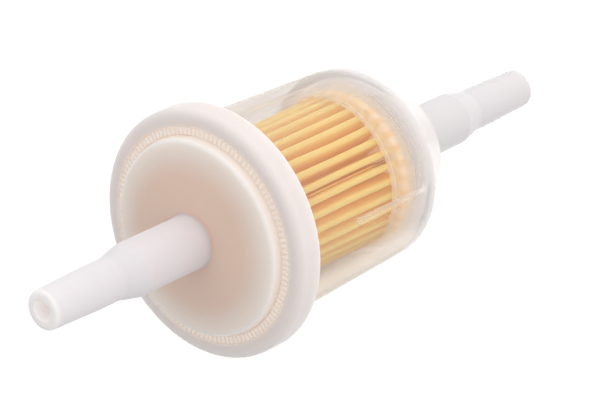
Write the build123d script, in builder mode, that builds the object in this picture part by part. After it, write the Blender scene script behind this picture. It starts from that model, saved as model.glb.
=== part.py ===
"""Inline fuel filter for small engines: a welded nylon housing with a pleated paper element inside.

Millimetres. +X runs along the filter from the flanged cap's spigot to the bowl's spigot and +Z is up.
The origin is on the axis, midway between the two spigot tips. Axial places are given as distances
from the cap's spigot tip and turned into X by place().
"""

from build123d import *
import os
from math import asin, atan2, cos, hypot, pi, sin

os.makedirs("parts", exist_ok=True)

# ---- driving dimensions: housing -------------------------------------------------------------
LENGTH = 105.0  # spigot tip to spigot tip
WALL = 1.2  # bowl wall
CAP_WALL = 1.6  # end wall of the flanged cap

# stepped hose spigots, the same on both ends
SMALL_HOSE_R = 3.175  # for a 1/4 in fuel hose
LARGE_HOSE_R = 4.0  # for a 5/16 in (8 mm) fuel hose
TIP_R = 2.92
TIP_ROUND = 0.6
SMALL_END = 13.2  # tip to the end of the narrow seat
SMALL_STRAIGHT = 4.0  # straight stretch at the inner end of the narrow seat
SHOULDER_LENGTH = 3.7  # tapered step between the two seats
SHOULDER_ROUND = 3.0
PASSAGE_R = 1.5  # fuel passage through each spigot

# flanged cap
FACE = 29.3  # cap face where it meets the spigot
DISC_EDGE = 30.35  # the domed face at its rim
DISC_R = 14.5
DISC_ROUND = 0.6
DOME_RISE = 0.32  # how far the domed face stands off its chord
SPIGOT_ROOT_ROUND = 0.4
FLANGE_FRONT = 31.75
FLANGE_LENGTH = 4.2
FLANGE_R = 18.5
FLANGE_FRONT_ROUND = 1.2
FLANGE_REAR_ROUND = 0.4
TRACK_INNER_R = 14.8  # shallow track that the weld driver's teeth stand in
TRACK_OUTER_R = 16.2
TRACK_DEPTH = 0.32
TOOTH_COUNT = 120
TOOTH_INNER_R = 15.0
TOOTH_OUTER_R = 16.0
TOOTH_WIDTH = 0.42
TOOTH_HEIGHT = 0.28
WELD_GROOVE_BOTTOM = 33.2  # the bowl's rim stands in a groove behind the flange
INNER_COLLAR_R = 13.1
INNER_COLLAR_END = 35.4
STUB_SHOULDER_R = 4.6  # the element's seat ring stops against this shoulder
STUB_SHOULDER_END = 32.6
STUB_R = 3.4
STUB_END = 34.8

# bowl
BOWL_MOUTH_R = 15.7
BOWL_END_R = 14.65
BOWL_SHOULDER = 66.0
BOWL_SHOULDER_ROUND = 2.4
CONE_END = 75.0
CONE_END_R = 8.6
CONE_END_ROUND = 0.6
END_WALL = 1.6
RIB_COUNT = 3
RIB_START = 50.2
RIB_INNER_R = 13.0
RIB_WIDTH = 0.85

# ---- driving dimensions: filter element ------------------------------------------------------
SEAT_PLATE = 1.0
SEAT_R = 12.6
SEAT_LIP = 0.7
SEAT_LIP_END = 35.6
SEAT_HOLE_CLEARANCE = 0.05
POTTING_DEPTH = 1.2
END_CAP_START = 59.4
END_CAP_END = 64.3
END_CAP_R = 12.7
END_CAP_SKIRT = 0.7
END_CAP_PLATE = 1.1
END_CAP_ROUND = 0.45
CORE_INNER_R = 4.6
CORE_OUTER_R = 5.6
CORE_WINDOW_ROWS = 5
CORE_WINDOWS_ROUND = 6
CORE_WINDOW_LENGTH = 3.6
CORE_WINDOW_WIDTH = 2.6
PLEAT_COUNT = 33
PLEAT_OUTER_R = 11.6
PLEAT_INNER_R = 6.5
PAPER_THICKNESS = 0.35
OUTER_FOLD_R = 0.42  # bend radius of the paper's middle surface
INNER_FOLD_R = 0.30
SEAM_INNER_R = 9.4
SEAM_OUTER_R = 11.2
SEAM_WIDTH = 0.5
SEAM_VALLEY = 2.5  # pleats from the crest that faces -Y up to the valley that holds the bead

# ---- places worked out from them -------------------------------------------------------------
BORE_MARGIN = 1.0  # cutters run this far past what they cut
FLANGE_REAR = FLANGE_FRONT + FLANGE_LENGTH
WELD_GROOVE_INNER_R = BOWL_MOUTH_R - WALL
SEAT_PLATE_END = STUB_SHOULDER_END + SEAT_PLATE
PAPER_START = SEAT_PLATE_END + POTTING_DEPTH
END_CAP_FLOOR = END_CAP_END - END_CAP_PLATE
PAPER_END = END_CAP_FLOOR - POTTING_DEPTH
CONE_ANGLE = atan2(BOWL_END_R - CONE_END_R, CONE_END - BOWL_SHOULDER)
CONE_WALL = WALL / cos(CONE_ANGLE)  # the wall measured along the radius
CONE_SLOPE = (BOWL_END_R - CONE_END_R) / (CONE_END - BOWL_SHOULDER)
BOWL_FLOOR = CONE_END - END_WALL
BOWL_FLOOR_R = CONE_END_R - CONE_WALL + CONE_SLOPE * END_WALL


def place(distance):
    """X of a point that lies this far from the cap's spigot tip."""
    return distance - LENGTH / 2


def mirrored(distance):
    """The same distance measured from the bowl's spigot tip instead."""
    return LENGTH - distance


def spigot_outline(measure, root):
    """Corners of half a stepped spigot's section, from its bore at the tip to its root."""
    return [
        (place(measure(0)), 0),
        (place(measure(0)), TIP_R),
        (place(measure(SMALL_END - SMALL_STRAIGHT)), SMALL_HOSE_R),
        (place(measure(SMALL_END)), SMALL_HOSE_R),
        (place(measure(SMALL_END + SHOULDER_LENGTH)), LARGE_HOSE_R),
        (place(measure(root)), LARGE_HOSE_R),
    ]


def at_corner(sketch, corner):
    """The sketch vertex nearest to a corner given as (x, radius)."""
    return sketch.vertices().sort_by_distance((corner[0], corner[1], 0))[0]


def round_spigot(sketch, outline):
    """Round the tip and both corners of the tapered step."""
    fillet(at_corner(sketch, outline[1]), TIP_ROUND)
    fillet(at_corner(sketch, outline[3]), SHOULDER_ROUND)
    fillet(at_corner(sketch, outline[4]), SHOULDER_ROUND)


def ring(start, end, inner_r, outer_r):
    """A plain ring about the X axis, standing alone."""
    with BuildPart(mode=Mode.PRIVATE) as made:
        with BuildSketch(Plane.YZ.offset(place(start))):
            Circle(outer_r)
            Circle(inner_r, mode=Mode.SUBTRACT)
        extrude(amount=end - start)
    return made.part


# ---- flanged cap: end wall, flange with the weld driver's teeth, stub and spigot ---------------
cap_spigot = spigot_outline(lambda distance: distance, FACE)
dome_middle = ((LARGE_HOSE_R + DISC_R) / 2, (FACE + DISC_EDGE) / 2)

with BuildPart() as flanged_cap:
    with BuildSketch(Plane.XY) as cap_half:
        with BuildLine():
            Polyline(*cap_spigot)
            ThreePointArc(
                (place(FACE), LARGE_HOSE_R),
                (place(dome_middle[1] - DOME_RISE), dome_middle[0]),
                (place(DISC_EDGE), DISC_R),
            )
            Polyline(
                (place(DISC_EDGE), DISC_R),
                (place(FLANGE_FRONT + TRACK_DEPTH), TRACK_INNER_R),
                (place(FLANGE_FRONT + TRACK_DEPTH), TRACK_OUTER_R),
                (place(FLANGE_FRONT), TRACK_OUTER_R),
                (place(FLANGE_FRONT), FLANGE_R),
                (place(FLANGE_REAR), FLANGE_R),
                (place(FLANGE_REAR), BOWL_MOUTH_R),
                (place(WELD_GROOVE_BOTTOM), BOWL_MOUTH_R),
                (place(WELD_GROOVE_BOTTOM), WELD_GROOVE_INNER_R),
                (place(INNER_COLLAR_END), WELD_GROOVE_INNER_R),
                (place(INNER_COLLAR_END), INNER_COLLAR_R),
                (place(DISC_EDGE + CAP_WALL), INNER_COLLAR_R),
            )
            ThreePointArc(
                (place(DISC_EDGE + CAP_WALL), INNER_COLLAR_R),
                (place(dome_middle[1] + CAP_WALL - DOME_RISE), dome_middle[0]),
                (place(FACE + CAP_WALL), STUB_SHOULDER_R),
            )
            Polyline(
                (place(FACE + CAP_WALL), STUB_SHOULDER_R),
                (place(STUB_SHOULDER_END), STUB_SHOULDER_R),
                (place(STUB_SHOULDER_END), STUB_R),
                (place(STUB_END), STUB_R),
                (place(STUB_END), 0),
                cap_spigot[0],
            )
        make_face()
        round_spigot(cap_half, cap_spigot)
        fillet(at_corner(cap_half, cap_spigot[5]), SPIGOT_ROOT_ROUND)
        fillet(at_corner(cap_half, (place(DISC_EDGE), DISC_R)), DISC_ROUND)
        fillet(at_corner(cap_half, (place(FLANGE_FRONT), FLANGE_R)), FLANGE_FRONT_ROUND)
        fillet(at_corner(cap_half, (place(FLANGE_REAR), FLANGE_R)), FLANGE_REAR_ROUND)
    revolve(axis=Axis.X)
    # fine radial teeth that the spin welder's driver grips
    with BuildSketch(Plane.YZ.offset(place(FLANGE_FRONT + TRACK_DEPTH - TOOTH_HEIGHT))):
        with PolarLocations((TOOTH_INNER_R + TOOTH_OUTER_R) / 2, TOOTH_COUNT):
            Rectangle(TOOTH_OUTER_R - TOOTH_INNER_R, TOOTH_WIDTH)
    extrude(amount=TOOTH_HEIGHT + TRACK_DEPTH)
    with BuildSketch(Plane.YZ.offset(place(-BORE_MARGIN))):
        Circle(PASSAGE_R)
    extrude(amount=STUB_END + 2 * BORE_MARGIN, mode=Mode.SUBTRACT)

flanged_cap.part.label = "flanged_cap"
export_step(flanged_cap.part, "parts/flanged_cap.step")

# ---- bowl: drafted tube, cone, end wall, guide ribs and spigot --------------------------------
bowl_spigot = spigot_outline(mirrored, mirrored(CONE_END))

with BuildPart() as bowl:
    with BuildSketch(Plane.XY) as bowl_half:
        with BuildLine():
            Polyline(
                (place(WELD_GROOVE_BOTTOM), 0),
                (place(WELD_GROOVE_BOTTOM), BOWL_MOUTH_R),
                (place(FLANGE_REAR), BOWL_MOUTH_R),
                (place(BOWL_SHOULDER), BOWL_END_R),
                (place(CONE_END), CONE_END_R),
                *reversed(bowl_spigot),
                (place(WELD_GROOVE_BOTTOM), 0),
            )
        make_face()
        round_spigot(bowl_half, bowl_spigot)
        fillet(at_corner(bowl_half, bowl_spigot[5]), SPIGOT_ROOT_ROUND)
        fillet(at_corner(bowl_half, (place(BOWL_SHOULDER), BOWL_END_R)), BOWL_SHOULDER_ROUND)
        fillet(at_corner(bowl_half, (place(CONE_END), CONE_END_R)), CONE_END_ROUND)
    revolve(axis=Axis.X)
    with BuildSketch(Plane.XY) as hollow_half:
        with BuildLine():
            Polyline(
                (place(WELD_GROOVE_BOTTOM), 0),
                (place(WELD_GROOVE_BOTTOM), WELD_GROOVE_INNER_R),
                (place(FLANGE_REAR), WELD_GROOVE_INNER_R),
                (place(BOWL_SHOULDER), BOWL_END_R - CONE_WALL),
                (place(BOWL_FLOOR), BOWL_FLOOR_R),
                (place(BOWL_FLOOR), 0),
                (place(WELD_GROOVE_BOTTOM), 0),
            )
        make_face()
        fillet(
            at_corner(hollow_half, (place(BOWL_SHOULDER), BOWL_END_R - CONE_WALL)),
            BOWL_SHOULDER_ROUND - WALL,
        )
    revolve(axis=Axis.X, mode=Mode.SUBTRACT)
    # ribs that keep the element central; the first one faces -Y
    with BuildSketch(Plane.YZ.offset(place(RIB_START))):
        with PolarLocations(RIB_INNER_R + WALL / 2, RIB_COUNT, start_angle=180):
            Rectangle(WALL, RIB_WIDTH)
    extrude(amount=BOWL_SHOULDER - RIB_START)
    with BuildSketch(Plane.YZ.offset(place(BOWL_FLOOR - BORE_MARGIN))):
        Circle(PASSAGE_R)
    extrude(amount=mirrored(BOWL_FLOOR) + 2 * BORE_MARGIN, mode=Mode.SUBTRACT)

bowl.part.label = "bowl"
export_step(bowl.part, "parts/bowl.step")

# ---- seat ring: the element's open end, pushed onto the cap's stub -----------------------------
with BuildPart() as seat_ring:
    with BuildSketch(Plane.XY):
        with BuildLine():
            Polyline(
                (place(STUB_SHOULDER_END), STUB_R + SEAT_HOLE_CLEARANCE),
                (place(STUB_SHOULDER_END), SEAT_R),
                (place(SEAT_LIP_END), SEAT_R),
                (place(SEAT_LIP_END), SEAT_R - SEAT_LIP),
                (place(SEAT_PLATE_END), SEAT_R - SEAT_LIP),
                (place(SEAT_PLATE_END), STUB_R + SEAT_HOLE_CLEARANCE),
                close=True,
            )
        make_face()
    revolve(axis=Axis.X)

seat_ring.part.label = "element_seat_ring"
export_step(seat_ring.part, "parts/element_seat_ring.step")

# ---- closed end cap: a shallow cup over the far end of the pleats -------------------------------
with BuildPart() as end_cap:
    with BuildSketch(Plane.XY) as end_cap_half:
        with BuildLine():
            Polyline(
                (place(END_CAP_START), END_CAP_R - END_CAP_SKIRT),
                (place(END_CAP_START), END_CAP_R),
                (place(END_CAP_END), END_CAP_R),
                (place(END_CAP_END), 0),
                (place(END_CAP_FLOOR), 0),
                (place(END_CAP_FLOOR), END_CAP_R - END_CAP_SKIRT),
                close=True,
            )
        make_face()
        fillet(at_corner(end_cap_half, (place(END_CAP_END), END_CAP_R)), END_CAP_ROUND)
    revolve(axis=Axis.X)

end_cap.part.label = "element_end_cap"
export_step(end_cap.part, "parts/element_end_cap.step")

# ---- support core: a windowed tube that keeps the pleats from collapsing inwards ----------------
window_pitch = (PAPER_END - PAPER_START) / CORE_WINDOW_ROWS

with BuildPart() as core:
    add(ring(SEAT_PLATE_END, END_CAP_FLOOR, CORE_INNER_R, CORE_OUTER_R))
    for row in range(CORE_WINDOW_ROWS):
        middle = place(PAPER_START + (row + 0.5) * window_pitch)
        with Locations((middle, 0, 0)):
            for turn in range(CORE_WINDOWS_ROUND // 2):
                Box(
                    CORE_WINDOW_LENGTH,
                    4 * CORE_OUTER_R,
                    CORE_WINDOW_WIDTH,
                    rotation=(360 / CORE_WINDOWS_ROUND * turn, 0, 0),
                    mode=Mode.SUBTRACT,
                )

core.part.label = "support_core"
export_step(core.part, "parts/support_core.step")


# ---- pleated paper: rounded folds joined by straight flanks ------------------------------------
def polar(radius, angle):
    """Vector in the YZ plane at this angle in radians."""
    return Vector(radius * cos(angle), radius * sin(angle))


def pleat_side(shift):
    """Draw the closed zigzag that lies this far outside the paper's middle surface.

    The first crest faces -Y.
    """
    crest_r = OUTER_FOLD_R + shift
    valley_r = INNER_FOLD_R - shift
    crest_centre_r = PLEAT_OUTER_R - OUTER_FOLD_R - PAPER_THICKNESS / 2
    valley_centre_r = PLEAT_INNER_R + INNER_FOLD_R + PAPER_THICKNESS / 2
    half_pitch = pi / PLEAT_COUNT
    across = valley_centre_r * sin(half_pitch)
    down = crest_centre_r - valley_centre_r * cos(half_pitch)
    # how far the straight flank leans from the pleat's own radius
    lean = asin((OUTER_FOLD_R + INNER_FOLD_R) / hypot(across, down)) - atan2(across, down)
    for pleat in range(PLEAT_COUNT):
        crest = pi + 2 * half_pitch * pleat
        valley = crest + half_pitch
        next_crest = crest + 2 * half_pitch
        crest_centre = polar(crest_centre_r, crest)
        valley_centre = polar(valley_centre_r, valley)
        next_centre = polar(crest_centre_r, next_crest)
        side = pi / 2 + lean
        crest_start = crest_centre + polar(crest_r, crest - side)
        crest_end = crest_centre + polar(crest_r, crest + side)
        valley_start = valley_centre + polar(valley_r, crest + side - pi)
        valley_end = valley_centre + polar(valley_r, next_crest - side + pi)
        next_start = next_centre + polar(crest_r, next_crest - side)
        ThreePointArc(crest_start, crest_centre + polar(crest_r, crest), crest_end)
        Line(crest_end, valley_start)
        ThreePointArc(valley_start, valley_centre - polar(valley_r, valley), valley_end)
        Line(valley_end, next_start)


with BuildPart() as paper:
    with BuildSketch(Plane.YZ.offset(place(PAPER_START))):
        with BuildLine():
            pleat_side(PAPER_THICKNESS / 2)
        make_face()
        with BuildLine():
            pleat_side(-PAPER_THICKNESS / 2)
        make_face(mode=Mode.SUBTRACT)
    extrude(amount=PAPER_END - PAPER_START)

paper.part.label = "pleated_paper"
export_step(paper.part, "parts/pleated_paper.step")

# ---- seam bead: the glue line that closes the paper into a ring --------------------------------
seam_angle = 180 - 360 / PLEAT_COUNT * SEAM_VALLEY

with BuildPart() as seam:
    with BuildSketch(Plane.YZ.offset(place(PAPER_START))):
        with PolarLocations((SEAM_INNER_R + SEAM_OUTER_R) / 2, 1, start_angle=seam_angle):
            Rectangle(SEAM_OUTER_R - SEAM_INNER_R, SEAM_WIDTH)
    extrude(amount=PAPER_END - PAPER_START)

seam.part.label = "paper_seam_bead"
export_step(seam.part, "parts/paper_seam_bead.step")

# ---- potting: the adhesive rings that the paper's two ends are set in ---------------------------
with BuildPart() as seat_potting:
    add(ring(SEAT_PLATE_END, PAPER_START, CORE_OUTER_R, SEAT_R - SEAT_LIP))

seat_potting.part.label = "seat_ring_potting"
export_step(seat_potting.part, "parts/seat_ring_potting.step")

with BuildPart() as end_potting:
    add(ring(PAPER_END, END_CAP_FLOOR, CORE_OUTER_R, END_CAP_R - END_CAP_SKIRT))

end_potting.part.label = "end_cap_potting"
export_step(end_potting.part, "parts/end_cap_potting.step")
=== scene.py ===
"""Looks for the inline fuel filter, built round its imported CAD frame. Metres throughout.

The frame's +X runs from the flanged cap's spigot to the bowl's spigot and +Z is up. Everything is laid
out from the CAD nodes' boxes. An angle round the axis is counted from -Y, the side that faces the
camera, up towards +Z.
"""

import math
import random

import bmesh
import bpy
from mathutils import Matrix, Vector


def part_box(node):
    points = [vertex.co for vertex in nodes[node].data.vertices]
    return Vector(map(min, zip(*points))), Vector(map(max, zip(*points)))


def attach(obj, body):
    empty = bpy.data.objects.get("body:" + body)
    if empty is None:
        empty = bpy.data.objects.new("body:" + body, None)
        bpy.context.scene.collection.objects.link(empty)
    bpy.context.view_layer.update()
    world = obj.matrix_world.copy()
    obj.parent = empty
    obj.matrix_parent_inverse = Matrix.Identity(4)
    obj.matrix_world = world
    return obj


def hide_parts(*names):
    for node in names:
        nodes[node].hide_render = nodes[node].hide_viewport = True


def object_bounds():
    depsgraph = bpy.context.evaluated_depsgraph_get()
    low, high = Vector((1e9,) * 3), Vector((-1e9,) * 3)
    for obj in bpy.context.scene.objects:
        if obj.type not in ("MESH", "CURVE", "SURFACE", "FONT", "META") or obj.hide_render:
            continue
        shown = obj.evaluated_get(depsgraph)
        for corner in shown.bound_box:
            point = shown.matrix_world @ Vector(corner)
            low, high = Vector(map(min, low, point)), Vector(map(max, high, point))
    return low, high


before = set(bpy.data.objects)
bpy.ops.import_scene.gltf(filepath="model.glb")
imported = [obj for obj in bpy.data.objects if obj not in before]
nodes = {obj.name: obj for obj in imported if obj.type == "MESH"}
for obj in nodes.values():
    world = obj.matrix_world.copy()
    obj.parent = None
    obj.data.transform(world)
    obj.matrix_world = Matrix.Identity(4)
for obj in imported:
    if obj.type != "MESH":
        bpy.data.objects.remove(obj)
cad_low, cad_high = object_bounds()
MM = 0.001

# ---- camera: a long lens on the cap's side, a little above the filter ---------------------------
CAMERA_PLACE = Vector((-0.3325, -0.2823, 0.1976))
CAMERA_AIM = Vector((-0.0002, -0.0006, -0.0012))
CAMERA_ROLL = math.radians(0.76)
LENS_MM = 198.6
SENSOR_MM = 36.0


def make_camera():
    data = bpy.data.cameras.new("camera")
    data.lens = LENS_MM
    data.sensor_width = SENSOR_MM
    data.clip_end = 10.0
    camera = bpy.data.objects.new("camera", data)
    look = (CAMERA_AIM - CAMERA_PLACE).to_track_quat("-Z", "Y").to_matrix().to_4x4()
    turn = Matrix.Rotation(CAMERA_ROLL, 4, "Z")
    camera.matrix_world = Matrix.Translation(CAMERA_PLACE) @ look @ turn
    bpy.context.scene.collection.objects.link(camera)
    bpy.context.scene.camera = camera


make_camera()


# ---- node helpers -------------------------------------------------------------------------------
class Shader:
    """A short way to write a node tree: each method adds a node and gives back its output socket."""

    def __init__(self, tree):
        self.tree = tree

    def node(self, kind, **inputs):
        made = self.tree.nodes.new(kind)
        for name, value in inputs.items():
            self.put(made.inputs[name.replace("_", " ")], value)
        return made

    def put(self, socket, value):
        if isinstance(value, bpy.types.NodeSocket):
            self.tree.links.new(value, socket)
        else:
            socket.default_value = value

    def math(self, operation, first, second=0.0, clamp=False):
        made = self.tree.nodes.new("ShaderNodeMath")
        made.operation = operation
        made.use_clamp = clamp
        self.put(made.inputs[0], first)
        self.put(made.inputs[1], second)
        return made.outputs[0]

    def plus(self, first, second, clamp=False):
        return self.math("ADD", first, second, clamp)

    def minus(self, first, second):
        return self.math("SUBTRACT", first, second)

    def times(self, first, second):
        return self.math("MULTIPLY", first, second)

    def noise(self, place, scale, detail=3.0, roughness=0.5, distortion=0.0):
        made = self.node("ShaderNodeTexNoise", Vector=place, Scale=scale, Detail=detail)
        made.inputs["Roughness"].default_value = roughness
        made.inputs["Distortion"].default_value = distortion
        return made.outputs["Fac"]

    def stretched(self, place, scale):
        """The place coordinates scaled by a different amount along each axis."""
        made = self.node("ShaderNodeMapping", Vector=place)
        made.inputs["Scale"].default_value = scale
        return made.outputs["Vector"]

    def remap(self, value, old_low, old_high, new_low, new_high, smooth=False):
        made = self.node("ShaderNodeMapRange", Value=value)
        made.interpolation_type = "SMOOTHSTEP" if smooth else "LINEAR"
        for name, number in (
            ("From Min", old_low),
            ("From Max", old_high),
            ("To Min", new_low),
            ("To Max", new_high),
        ):
            made.inputs[name].default_value = number
        return made.outputs["Result"]

    def fade(self, value, start, end, low=0, high=1):
        """Low up to the start, high from the end on, and a smooth change between them."""
        return self.remap(value, start, end, low, high, smooth=True)

    def mix(self, share, first, second):
        made = self.tree.nodes.new("ShaderNodeMix")
        made.data_type = "RGBA"
        self.put(made.inputs["Factor"], share)
        self.put(made.inputs["A"], first)
        self.put(made.inputs["B"], second)
        return made.outputs["Result"]

    def bump(self, height, strength, distance):
        made = self.node("ShaderNodeBump", Height=height, Strength=strength, Distance=distance)
        return made.outputs["Normal"]


def new_material(name):
    """An empty Principled material: its shader helper, its BSDF and its place coordinates in metres."""
    material = bpy.data.materials.new(name)
    material.use_nodes = True
    tree = material.node_tree
    shader = Shader(tree)
    bsdf = tree.nodes["Principled BSDF"]
    place = tree.nodes.new("ShaderNodeTexCoord").outputs["Object"]
    return material, shader, bsdf, place


def rgb(red, green, blue):
    """A colour from 8-bit sRGB values, as the linear colour that a socket wants."""

    def linear(value):
        value = value / 255
        return value / 12.92 if value <= 0.04045 else ((value + 0.055) / 1.055) ** 2.4

    return (linear(red), linear(green), linear(blue), 1.0)


def axis_parts(shader, place):
    """The distance along the filter's axis, and the distance out from it."""
    split = shader.node("ShaderNodeSeparateXYZ", Vector=place)
    y, z = split.outputs["Y"], split.outputs["Z"]
    square = shader.plus(shader.times(y, y), shader.times(z, z))
    return split.outputs["X"], shader.math("SQRT", square)


# ---- materials ----------------------------------------------------------------------------------
CLOUD_SCALE = 60
FLOW_SCALE = 220
FLOW_STRETCH = (0.35, 1, 1)  # the marks run along the axis
FLOW_BUMP = (0.02, 0.0001)  # strength, and height in metres
UNEVEN_GLOSS = 0.04


def nylon_finish(shader, bsdf, place, colour, cloudy, roughness=None):
    """Moulded nylon: cloudy colour, faint flow marks and, unless it is set elsewhere, uneven gloss."""
    clouds = shader.noise(place, CLOUD_SCALE, detail=1)
    shader.put(bsdf.inputs["Base Color"], shader.mix(clouds, colour, cloudy))
    if roughness is not None:
        uneven = shader.remap(clouds, 0, 1, roughness - UNEVEN_GLOSS, roughness + UNEVEN_GLOSS)
        shader.put(bsdf.inputs["Roughness"], uneven)
    flow = shader.noise(shader.stretched(place, FLOW_STRETCH), FLOW_SCALE, detail=2, distortion=1.2)
    shader.put(bsdf.inputs["Normal"], shader.bump(flow, *FLOW_BUMP))


def milky(bsdf, share, depth):
    """Let light travel inside the nylon, about this many metres deep."""
    bsdf.inputs["IOR"].default_value = 1.5
    bsdf.inputs["Subsurface Weight"].default_value = share
    bsdf.inputs["Subsurface Scale"].default_value = depth
    bsdf.inputs["Subsurface Radius"].default_value = (1.0, 0.92, 0.85)


# where the bowl's look changes, each as (start, end) of the change: first the places along the axis
WALL_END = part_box("element_end_cap")[1].x
CONE_WHITENS = (WALL_END - 2.6 * MM, WALL_END - 0.4 * MM)
CONE_CLOUDS = (WALL_END - 1.2 * MM, WALL_END + 1.4 * MM)
SPIGOT_CLOUDS = (WALL_END + 8 * MM, WALL_END + 12 * MM)
MOUTH_CLEARS = (-20 * MM, 0)
UNDERSIDE_ENDS = (WALL_END - 2 * MM, WALL_END + 1 * MM)
RIB_ENDS = (WALL_END + 1.2 * MM, WALL_END + 1.6 * MM)
# heights, where the underside's painted light and the belly's painted shade begin
UNDERSIDE_STARTS = (-3 * MM, -6.5 * MM)
BELLY_STARTS = (-7 * MM, -9.5 * MM)
# radius, the same in both spigots
BORE_EDGE = (1.55 * MM, 1.65 * MM)
# the bowl's inside radius at its mouth and at its shoulder, as (x, x, radius, radius)
BOWL_INSIDE = (-19.3 * MM, 13.5 * MM, 14.5 * MM, 13.2 * MM)
# the bowl's outside radius at its shoulder and at the cone's end, in the same order
BOWL_CONE = (13.5 * MM, 22.5 * MM, 14.65 * MM, 8.6 * MM)
# distances in from BOWL_INSIDE towards the axis: a rib stands in from the wall, the outer face lies out
RIB_STANDS = (0.12 * MM, 0.18 * MM)
INNER_FACE = (-0.6 * MM, -0.3 * MM)
# distance in from BOWL_CONE
CONE_INNER_FACE = (0.5 * MM, 0.8 * MM)

# how much of what lies behind each part of the bowl is hidden
CLEAR_HAZE = 0.055
EDGE_ON_HAZE = 0.48
EDGE_ON_POWER = 1.7
OUTER_SHARE = 1.2
INNER_SHARE = 0.5
MOUTH_HAZE = 0.05
CONE_HAZE = 0.8
RIB_HAZE = 0.26
UNDERSIDE_HAZE = 0.24
BELLY_HAZE = 0.2

# painted light: glow that stands in for light scattering inside the nylon, for which a thin shell has no
# room; the bore's glow lifts the shade inside the spigots' bores
WALL_GLOW = 0.08
UNDERSIDE_GLOW = 0.15
RIB_GLOW = 0.1
CONE_GLOW = 0.07
BORE_GLOW = 0.1
END_GLOW = 0.2


def bowl_nylon():
    """Natural nylon: nearly clear on the thin wall, hazy where it is seen edge on, white on the spigot,
    with painted glow and with painted light and shade on its underside.
    """
    material, shader, bsdf, place = new_material("bowl_nylon")
    along, out = axis_parts(shader, place)
    height = shader.node("ShaderNodeSeparateXYZ", Vector=place).outputs["Z"]
    in_from_wall = shader.minus(shader.remap(along, *BOWL_INSIDE), out)
    in_from_cone = shader.minus(shader.remap(along, *BOWL_CONE), out)

    # masks of the bowl's parts
    thick = shader.fade(along, *SPIGOT_CLOUDS)
    bright = shader.fade(along, *CONE_WHITENS)
    under = shader.times(shader.fade(height, *UNDERSIDE_STARTS), shader.fade(along, *UNDERSIDE_ENDS, 1, 0))
    belly = shader.times(under, shader.fade(height, *BELLY_STARTS))
    rib = shader.times(shader.remap(in_from_wall, *RIB_STANDS, 0, 1), shader.remap(along, *RIB_ENDS, 1, 0))

    wall = rgb(196, 186, 174)
    end = rgb(208, 203, 200)
    spigot = rgb(221, 217, 219)
    colour = shader.mix(thick, shader.mix(bright, wall, end), spigot)
    # painted light: the underside lighter and warmer; painted shade: the belly below it darker
    colour = shader.mix(under, colour, rgb(233, 222, 208))
    colour = shader.mix(belly, colour, rgb(200, 184, 160))
    colour = shader.mix(rib, colour, rgb(240, 232, 222))
    cloudy = shader.mix(0.1, colour, rgb(190, 170, 150))
    nylon_finish(shader, bsdf, place, colour, cloudy, roughness=0.2)
    bsdf.inputs["Specular IOR Level"].default_value = 0.25
    milky(bsdf, 0.8, 0.002)

    weight = shader.node("ShaderNodeLayerWeight", Blend=0.5)
    edge_on = shader.math("POWER", weight.outputs["Facing"], EDGE_ON_POWER)
    haze = shader.plus(CLEAR_HAZE, shader.times(edge_on, EDGE_ON_HAZE))
    haze = shader.times(haze, shader.remap(in_from_wall, *INNER_FACE, OUTER_SHARE, INNER_SHARE))
    haze = shader.plus(haze, shader.fade(along, *MOUTH_CLEARS, MOUTH_HAZE, 0))
    haze = shader.plus(haze, shader.times(rib, RIB_HAZE))
    haze = shader.plus(haze, shader.times(under, UNDERSIDE_HAZE))
    haze = shader.plus(haze, shader.times(belly, BELLY_HAZE))
    haze = shader.plus(haze, shader.fade(along, *CONE_CLOUDS, 0, CONE_HAZE))
    shader.put(bsdf.inputs["Alpha"], shader.plus(haze, thick, clamp=True))

    # painted light: glow on the cone's inside, the wall, the cone, the rib, the underside and inside the
    # bores
    inside_cone = shader.remap(in_from_cone, *CONE_INNER_FACE, 0, 1)
    glow = shader.times(inside_cone, shader.fade(along, *CONE_CLOUDS, 0, END_GLOW))
    glow = shader.plus(glow, shader.remap(bright, 0, 1, WALL_GLOW, WALL_GLOW + CONE_GLOW))
    glow = shader.plus(glow, shader.times(rib, RIB_GLOW))
    glow = shader.plus(glow, shader.times(shader.minus(under, belly), UNDERSIDE_GLOW))
    glow = shader.times(glow, shader.minus(1, thick))
    glow = shader.plus(glow, shader.remap(out, *BORE_EDGE, BORE_GLOW, 0))
    glow_colour = shader.mix(bright, rgb(255, 238, 218), rgb(244, 243, 246))
    shader.put(bsdf.inputs["Emission Color"], glow_colour)
    shader.put(bsdf.inputs["Emission Strength"], glow)
    return material


# radii on the cap, each as (where a change starts, where it ends)
SPIGOT_EDGE = (3.9 * MM, 4.5 * MM)
DISC_PALES = (9.0 * MM, 14.4 * MM)
LIP_STARTS = (13.8 * MM, 14.3 * MM)
LIP_ENDS = (14.55 * MM, 14.7 * MM)
TRACK_STARTS = (14.6 * MM, 15.0 * MM)
FLANGE_STARTS = (15.8 * MM, 16.8 * MM)
TRACK_FLOOR_STARTS = (14.4 * MM, 14.6 * MM)
TRACK_FLOOR_ENDS = (16.15 * MM, 16.3 * MM)
SATIN_ENDS = (4.5 * MM, 7 * MM)
TIP_FACE = (cad_low.x + 0.1 * MM, cad_low.x + 0.7 * MM)
LIP_PAINTED_HIGHLIGHT = 0.4
LIP_GLOSS = 0.16
TRACK_GLOW = 0.1


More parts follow.
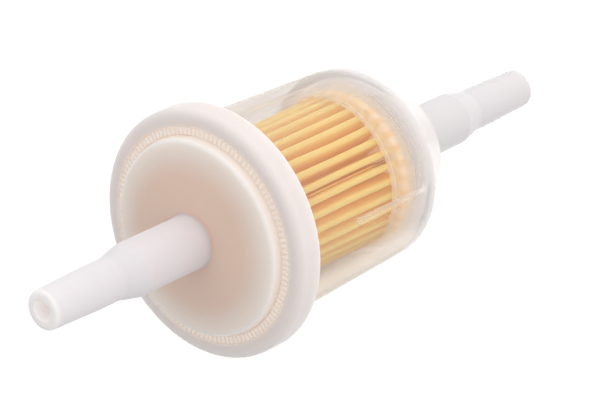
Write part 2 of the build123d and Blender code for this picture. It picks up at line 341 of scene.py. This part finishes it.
def cap_nylon():
    """The same nylon, milkier and opaque: the element's colour behind its thin end wall is painted on with
    painted shade, and its lip, tooth track, tip face and bore carry painted light.
    """
    material, shader, bsdf, place = new_material("cap_nylon")
    along, out = axis_parts(shader, place)
    lip = shader.times(shader.fade(out, *LIP_STARTS), shader.fade(out, *LIP_ENDS, 1, 0))
    bore = shader.remap(out, *BORE_EDGE, 1, 0)

    # painted shade: the element's colour seen through the thin end wall, darker toward the centre and
    # paling out to the disc's edge
    painted_element_shade = rgb(239, 207, 190)
    cream = rgb(247, 231, 222)
    # painted light: the tooth track paler, against the shade in its recess
    track = rgb(242, 230, 219)
    flange = rgb(228, 221, 219)
    # painted light: the tip face, which faces away from the light, painted lighter than the rest of the
    # spigot
    white = shader.mix(shader.fade(along, *TIP_FACE, 1, 0), rgb(222, 219, 222), rgb(246, 241, 240))
    colour = shader.mix(shader.fade(out, *SPIGOT_EDGE), white, painted_element_shade)
    colour = shader.mix(shader.fade(out, *DISC_PALES), colour, cream)
    colour = shader.mix(shader.fade(out, *TRACK_STARTS), colour, track)
    colour = shader.mix(shader.fade(out, *FLANGE_STARTS), colour, flange)
    # painted highlight: the disc's lip whiter all round
    colour = shader.mix(shader.times(lip, LIP_PAINTED_HIGHLIGHT), colour, rgb(250, 243, 240))
    # painted light: the bore painted near white, and given a glow below, to lift the shade inside it
    colour = shader.mix(bore, colour, rgb(250, 244, 242))
    nylon_finish(shader, bsdf, place, colour, shader.mix(0.05, colour, rgb(190, 150, 130)))

    satin = shader.fade(out, *SATIN_ENDS, 0.6, 0.32)
    satin = shader.plus(satin, shader.times(lip, -LIP_GLOSS))
    uneven = shader.remap(shader.noise(place, CLOUD_SCALE, detail=1), 0, 1, -0.03, 0.03)
    shader.put(bsdf.inputs["Roughness"], shader.plus(satin, uneven))
    bsdf.inputs["Specular IOR Level"].default_value = 0.3
    milky(bsdf, 1.0, 0.003)

    # painted light: the tooth track's floor glows, lifting the shade in its recess; the bore's glow is
    # added below
    track_floor = shader.times(
        shader.remap(out, *TRACK_FLOOR_STARTS, 0, TRACK_GLOW),
        shader.remap(out, *TRACK_FLOOR_ENDS, 1, 0),
    )
    shader.put(bsdf.inputs["Emission Color"], rgb(255, 244, 240))
    shader.put(bsdf.inputs["Emission Strength"], shader.plus(track_floor, shader.times(bore, BORE_GLOW)))
    return material


NEAR_LIP = (0.05 * MM, 0.2 * MM)  # from the open end of the end cap's skirt
FAR_LIP = (0.4 * MM, 0.1 * MM)  # from its closed end
END_CAP_HAZE = 0.2
END_CAP_LIP_HAZE = 0.42
END_CAP_GLOW = 0.12


def end_cap_nylon():
    """Thin translucent nylon over the pleats' far end, hazier on the rims of its skirt, with a painted
    highlight on those rims and a painted glow all over.
    """
    material, shader, bsdf, place = new_material("end_cap_nylon")
    along, _ = axis_parts(shader, place)
    low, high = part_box("element_end_cap")
    near_lip = shader.fade(along, low.x + NEAR_LIP[0], low.x + NEAR_LIP[1], 1, 0)
    far_lip = shader.fade(along, high.x - FAR_LIP[0], high.x - FAR_LIP[1])
    lip = shader.plus(near_lip, far_lip, clamp=True)
    # painted highlight: the skirt's rims whiter
    colour = shader.mix(lip, rgb(255, 236, 208), rgb(255, 248, 240))
    cloudy = shader.mix(lip, rgb(250, 226, 192), rgb(250, 242, 232))
    nylon_finish(shader, bsdf, place, colour, cloudy, roughness=0.35)
    shader.put(bsdf.inputs["Alpha"], shader.remap(lip, 0, 1, END_CAP_HAZE, END_CAP_LIP_HAZE))
    # painted light: the whole end cap glows, whiter on the rims
    shader.put(bsdf.inputs["Emission Color"], shader.mix(lip, rgb(255, 226, 186), rgb(255, 246, 238)))
    bsdf.inputs["Emission Strength"].default_value = END_CAP_GLOW
    milky(bsdf, 0.6, 0.0015)
    return material


PLEATS = 33
POTTING_GLOW = 0.2
CREST_STARTS = (9.4 * MM, 11.5 * MM)
FIBRE_SCALE = 2600
STAIN_SCALE = 170
PAPER_GLOW = 0.08
CREST_GLOW = 0.02


def filter_paper():
    """Resin-treated paper with fibres and stains: the crests painted paler as a painted highlight, the
    deeper-coloured folds given a painted glow.
    """
    material, shader, bsdf, place = new_material("filter_paper")
    _, out = axis_parts(shader, place)
    fibres = shader.noise(shader.stretched(place, FLOW_STRETCH), FIBRE_SCALE, detail=6, roughness=0.65)
    stain = shader.noise(place, STAIN_SCALE, detail=3)
    # painted highlight: the crests paler than the folds
    crest = shader.fade(out, *CREST_STARTS)
    ground = shader.mix(crest, rgb(250, 202, 100), rgb(255, 217, 124))
    stained = shader.mix(shader.remap(stain, 0.2, 0.8, 0, 0.3), ground, rgb(242, 182, 96))
    pale = shader.mix(0.3, stained, rgb(250, 222, 158))
    shader.put(bsdf.inputs["Base Color"], shader.mix(shader.remap(fibres, 0.35, 0.65, 0, 1), stained, pale))
    shader.put(bsdf.inputs["Roughness"], shader.remap(fibres, 0.3, 0.7, 0.72, 0.92))
    shader.put(bsdf.inputs["Normal"], shader.bump(fibres, 0.35, 0.00006))
    # painted light: glow in the folds, less on the crests
    shader.put(bsdf.inputs["Emission Color"], rgb(255, 198, 96))
    shader.put(bsdf.inputs["Emission Strength"], shader.remap(crest, 0, 1, PAPER_GLOW, CREST_GLOW))
    bsdf.inputs["Subsurface Weight"].default_value = 0.4
    bsdf.inputs["Subsurface Scale"].default_value = 0.0006
    bsdf.inputs["Subsurface Radius"].default_value = (1.0, 0.9, 0.7)
    return material


def moulded(name, colour, cloudy, roughness):
    """A plain moulded or cast piece inside the filter."""
    material, shader, bsdf, place = new_material(name)
    nylon_finish(shader, bsdf, place, colour, cloudy, roughness)
    bsdf.inputs["Subsurface Weight"].default_value = 0.3
    bsdf.inputs["Subsurface Scale"].default_value = 0.001
    return material


WOBBLE_SCALE = 400
WOBBLE = 0.03  # radians either way


def potting_glue():
    """Cast glue that the pleats stand in: tan where a fold lies close behind it, cream between."""
    material, shader, bsdf, place = new_material("potting")
    split = shader.node("ShaderNodeSeparateXYZ", Vector=place)
    round_axis = shader.math("ARCTAN2", split.outputs["Z"], shader.times(split.outputs["Y"], -1))
    wobble = shader.remap(shader.noise(place, WOBBLE_SCALE, detail=1), 0, 1, -WOBBLE, WOBBLE)
    folds = shader.math("COSINE", shader.times(shader.plus(round_axis, wobble), PLEATS))
    fold = shader.fade(folds, -0.7, 0.9, 0, 0.7)
    colour = shader.mix(fold, rgb(250, 234, 210), rgb(244, 208, 152))
    nylon_finish(shader, bsdf, place, colour, shader.mix(0.2, colour, rgb(240, 190, 130)), roughness=0.4)
    # painted light: the glue glows in its own colour
    shader.put(bsdf.inputs["Emission Color"], colour)
    bsdf.inputs["Emission Strength"].default_value = POTTING_GLOW
    milky(bsdf, 0.3, 0.001)
    return material


SEAM_GLOW = 0.08
POOL_STARTS = 4.2 * MM  # from the end cap's end of the bead
POOL_FULL = 2.6 * MM


def seam_glue():
    """Resin along the paper's joint: the paper's own colour, browner where it pools at the end cap."""
    material, shader, bsdf, place = new_material("seam_glue")
    along, _ = axis_parts(shader, place)
    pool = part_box("paper_seam_bead")[1].x
    brown = shader.fade(along, pool - POOL_STARTS, pool - POOL_FULL)
    colour = shader.mix(brown, rgb(250, 208, 116), rgb(198, 138, 80))
    nylon_finish(shader, bsdf, place, colour, shader.mix(0.3, colour, rgb(242, 190, 104)), roughness=0.5)
    # painted light: the thread glows, except where it pools
    shader.put(bsdf.inputs["Emission Color"], rgb(255, 208, 112))
    shader.put(bsdf.inputs["Emission Strength"], shader.remap(brown, 0, 1, SEAM_GLOW, 0))
    milky(bsdf, 0.4, 0.0008)
    return material


def dress(node, material):
    """Give a CAD node this material."""
    mesh = nodes[node].data
    mesh.materials.clear()
    mesh.materials.append(material)


potting = potting_glue()
paper = filter_paper()
glue = seam_glue()
dress("bowl", bowl_nylon())
dress("flanged_cap", cap_nylon())
dress("element_end_cap", end_cap_nylon())
dress("element_seat_ring", moulded("seat_ring_nylon", rgb(222, 172, 150), rgb(210, 158, 134), 0.5))
dress("support_core", moulded("core_plastic", rgb(236, 226, 210), rgb(226, 214, 196), 0.5))
dress("end_cap_potting", potting)
dress("seat_ring_potting", potting)
dress("paper_seam_bead", glue)


# ---- meshes: one way to bring each into the scene -----------------------------------------------
def add_mesh(name, mesh, smooth=True):
    """Turn a finished mesh into an object in the scene."""
    data = bpy.data.meshes.new(name)
    mesh.to_mesh(data)
    mesh.free()
    for polygon in data.polygons:
        polygon.use_smooth = smooth
    made = bpy.data.objects.new(name, data)
    bpy.context.scene.collection.objects.link(made)
    return made


# ---- pleats: the paper as it really folds, with uneven spacing and soft creases -------------------
PAPER_THICKNESS = 0.35 * MM
CREST_FOLD = 0.34 * MM
VALLEY_FOLD = 0.30 * MM
VALLEY_INNER_R = 6.5 * MM
STATIONS = 30
CREST_STEPS = 9
VALLEY_STEPS = 6
FLANK_STEPS = 4
# how unevenly the crests stand: degrees round the axis, and millimetres short of the outer radius
SLOW_WAVE = 0.6
QUICK_WAVE = 0.3
SPACING_CHANCE = 0.6
SWAY_CHANCE = 0.45
SINK_CHANCE = 0.22
SWAY_HALF_WAVES = 2.2  # along the filter


def turned(angle, radius):
    """(Y, Z) of a point at this angle from -Y up towards +Z and this far from the axis."""
    return Vector((-radius * math.cos(angle), radius * math.sin(angle)))


def crest_angles(chance):
    """The crests' angles: evenly spread, then pushed about by a slow wave and by a little chance."""
    angles = []
    for pleat in range(PLEATS):
        even = 2 * math.pi * pleat / PLEATS
        wave = math.radians(SLOW_WAVE) * math.sin(2 * even + 0.6)
        wave += math.radians(QUICK_WAVE) * math.sin(5 * even)
        angles.append(even + wave + math.radians(chance.uniform(-SPACING_CHANCE, SPACING_CHANCE)))
    return angles


def fold_line(crests, crest_radii, shift):
    """One closed zigzag round the axis, this far outside the paper's middle surface, as (Y, Z) points."""
    points = []
    count = len(crests)
    for pleat in range(count):
        crest = crests[pleat]
        following = crests[(pleat + 1) % count] + (2 * math.pi if pleat == count - 1 else 0)
        valley = (crest + following) / 2
        top = turned(crest, crest_radii[pleat] - CREST_FOLD)
        low = turned(valley, VALLEY_INNER_R + VALLEY_FOLD)
        next_top = turned(following, crest_radii[(pleat + 1) % count] - CREST_FOLD)
        side = math.pi / 2
        for step in range(CREST_STEPS + 1):
            swing = side * (2 * step / CREST_STEPS - 1)
            points.append(top + turned(crest + swing, CREST_FOLD + shift))
        bottom = []
        for step in range(VALLEY_STEPS + 1):
            swing = side * (2 * step / VALLEY_STEPS - 1)
            bottom.append(low - turned(valley - swing, VALLEY_FOLD - shift))
        start = points[-1].copy()
        for step in range(1, FLANK_STEPS):
            points.append(start.lerp(bottom[0], step / FLANK_STEPS))
        points.extend(bottom)
        climb = next_top + turned(following - side, CREST_FOLD + shift)
        for step in range(1, FLANK_STEPS):
            points.append(bottom[-1].lerp(climb, step / FLANK_STEPS))
    return points


def make_pleats():
    """The pleated ring as one closed sheet of paper, its crests wandering slightly along their length."""
    chance = random.Random(33)
    low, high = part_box("pleated_paper")
    outer_r = high.z - PAPER_THICKNESS / 2
    crests = crest_angles(chance)
    sway = [math.radians(chance.uniform(-SWAY_CHANCE, SWAY_CHANCE)) for _ in crests]
    phase = [chance.uniform(0, 2 * math.pi) for _ in crests]
    sink = [chance.uniform(0, SINK_CHANCE) * MM for _ in crests]
    mesh = bmesh.new()
    rings = []
    for station in range(STATIONS + 1):
        share = station / STATIONS
        x = low.x + share * (high.x - low.x)
        free = math.sin(math.pi * share)
        angles = []
        radii = []
        for pleat, crest in enumerate(crests):
            bend = sway[pleat] * free * math.sin(SWAY_HALF_WAVES * math.pi * share + phase[pleat])
            angles.append(crest + bend)
            radii.append(outer_r - sink[pleat] * free)
        outside, inside = (
            [mesh.verts.new((x, spot.x, spot.y)) for spot in fold_line(angles, radii, shift)]
            for shift in (PAPER_THICKNESS / 2, -PAPER_THICKNESS / 2)
        )
        rings.append((outside, inside))
    count = len(rings[0][0])
    for (outside, inside), (next_outside, next_inside) in zip(rings, rings[1:]):
        for i in range(count):
            j = (i + 1) % count
            mesh.faces.new((outside[i], outside[j], next_outside[j], next_outside[i]))
            mesh.faces.new((inside[j], inside[i], next_inside[i], next_inside[j]))
    for (outside, inside), flip in ((rings[0], False), (rings[-1], True)):
        for i in range(count):
            j = (i + 1) % count
            corners = (outside[j], outside[i], inside[i], inside[j])
            mesh.faces.new(tuple(reversed(corners)) if flip else corners)
    bmesh.ops.recalc_face_normals(mesh, faces=mesh.faces)
    pleats = add_mesh("filter_pleats", mesh)
    pleats.data.materials.append(paper)
    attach(pleats, "root")
    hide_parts("pleated_paper")


make_pleats()

# ---- seam bead: the glue as it was laid ----------------------------------------------------------
THREAD_SIDES = 12
THREAD_STATIONS = 48
THREAD_POOL = 0.86  # share of the length after which the thread swells towards the end cap
POOL_RISE = 0.06  # share of the length over which it swells
THREAD_TIP = 0.35  # share of its thickness that the thread keeps at its ends
TIP_SLOPE = 12  # how fast the rest comes back, per share of the length
# in millimetres: the thread's half height and half width, what the pool adds to each, how far chance
# moves each, how deep the thread lies under the bead's middle and how far the pool lifts it
THREAD_HEIGHT = 0.3
POOL_HEIGHT = 0.28
HEIGHT_CHANCE = 0.03
THREAD_WIDTH = 0.13
POOL_WIDTH = 0.06
WIDTH_CHANCE = 0.02
THREAD_SINKS = 0.5
POOL_LIFTS = 0.7


def make_seam():
    """A thin uneven thread of glue, deep between two folds, that swells where it meets the end cap."""
    chance = random.Random(7)
    low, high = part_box("paper_seam_bead")
    middle = (low + high) / 2
    angle = math.atan2(middle.z, -middle.y)
    radius = math.hypot(middle.y, middle.z)
    mesh = bmesh.new()
    rings = []
    for station in range(THREAD_STATIONS + 1):
        share = station / THREAD_STATIONS
        swell = min(1, max(0, (share - THREAD_POOL) / POOL_RISE))
        taper = min(1, THREAD_TIP + TIP_SLOPE * min(share, 1 - share))
        uneven = chance.uniform(-HEIGHT_CHANCE, HEIGHT_CHANCE)
        height = (THREAD_HEIGHT + POOL_HEIGHT * swell + uneven) * MM * taper
        uneven = chance.uniform(-WIDTH_CHANCE, WIDTH_CHANCE)
        width = (THREAD_WIDTH + POOL_WIDTH * swell + uneven) * MM * taper
        centre = radius + (POOL_LIFTS * swell - THREAD_SINKS) * MM
        ring = []
        for side in range(THREAD_SIDES):
            swing = 2 * math.pi * side / THREAD_SIDES
            spot = turned(angle, centre + height * math.cos(swing))
            spot += turned(angle + math.pi / 2, width * math.sin(swing))
            ring.append(mesh.verts.new((low.x + share * (high.x - low.x), spot.x, spot.y)))
        rings.append(ring)
    for ring, following in zip(rings, rings[1:]):
        for i in range(THREAD_SIDES):
            j = (i + 1) % THREAD_SIDES
            mesh.faces.new((ring[i], ring[j], following[j], following[i]))
    mesh.faces.new(rings[0])
    mesh.faces.new(rings[-1])
    bmesh.ops.recalc_face_normals(mesh, faces=mesh.faces)
    thread = add_mesh("seam_thread", mesh)
    thread.data.materials.append(glue)
    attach(thread, "root")
    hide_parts("paper_seam_bead")


make_seam()

# ---- studio: a pale floor under the filter and a soft white surround ------------------------------
FLOOR_SIZE = 3.0
FLOOR_GLOW = 0.96
FLOOR_GREYS = ((0.1, 0.1, 0.1, 1), (0.12, 0.12, 0.12, 1))
FLOOR_GAP = 0.1 * MM
SHOULDER_ALONG = 5.5 * MM  # from the end cap's open end to where the bowl rests
SHOULDER_UP = 1.0 * MM  # and how far that is above the bowl's lowest point
LIGHT_FROM = Vector((0.33, -0.38, 0.86))
LIGHT_EDGE = -0.7  # cosine of the angle from the light at which the sky has faded to the ambient
AMBIENT = 0.545
SOFT_LIGHT = 0.745


def make_floor():
    """A pale table that touches the flange and the bowl's shoulder, so it leans to meet both."""
    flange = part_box("flanged_cap")
    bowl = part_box("bowl")
    touch_flange = Vector((flange[1].x, 0, flange[0].z))
    rests_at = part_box("element_end_cap")[0].x + SHOULDER_ALONG
    touch_bowl = Vector((rests_at, 0, bowl[0].z + SHOULDER_UP))
    lean = (touch_bowl - touch_flange).normalized()
    normal = Vector((-lean.z, 0, lean.x))
    middle = touch_flange - normal * FLOOR_GAP
    mesh = bmesh.new()
    corners = []
    for along, across in ((-1, -1), (1, -1), (1, 1), (-1, 1)):
        sideways = Vector((0, across * FLOOR_SIZE / 2, 0))
        corners.append(mesh.verts.new(middle + lean * along * FLOOR_SIZE / 2 + sideways))
    mesh.faces.new(corners)
    floor = add_mesh("floor", mesh, smooth=False)
    material, shader, bsdf, place = new_material("floor_white")
    speck = shader.noise(place, 40, detail=2)
    shader.put(bsdf.inputs["Base Color"], shader.mix(shader.remap(speck, 0.3, 0.7, 0, 1), *FLOOR_GREYS))
    bsdf.inputs["Roughness"].default_value = 0.9
    bsdf.inputs["Specular IOR Level"].default_value = 0.0
    bsdf.inputs["Emission Color"].default_value = (1, 1, 1, 1)
    bsdf.inputs["Emission Strength"].default_value = FLOOR_GLOW
    floor.data.materials.append(material)
    floor.visible_diffuse = False
    floor.visible_shadow = False


def make_surround():
    """White all round, with one large soft light above and to the camera's right."""
    world = bpy.data.worlds.new("surround")
    bpy.context.scene.world = world
    world.use_nodes = True
    shader = Shader(world.node_tree)
    background = world.node_tree.nodes["Background"]
    towards = world.node_tree.nodes.new("ShaderNodeTexCoord").outputs["Generated"]
    dot = world.node_tree.nodes.new("ShaderNodeVectorMath")
    dot.operation = "DOT_PRODUCT"
    shader.put(dot.inputs[0], towards)
    dot.inputs[1].default_value = LIGHT_FROM.normalized()
    soft = shader.fade(dot.outputs["Value"], LIGHT_EDGE, 1, 0, SOFT_LIGHT)
    shader.put(background.inputs["Strength"], shader.plus(soft, AMBIENT))
    background.inputs["Color"].default_value = (1, 1, 1, 1)


make_floor()
make_surround()
bpy.context.scene.view_settings.view_transform = "Standard"
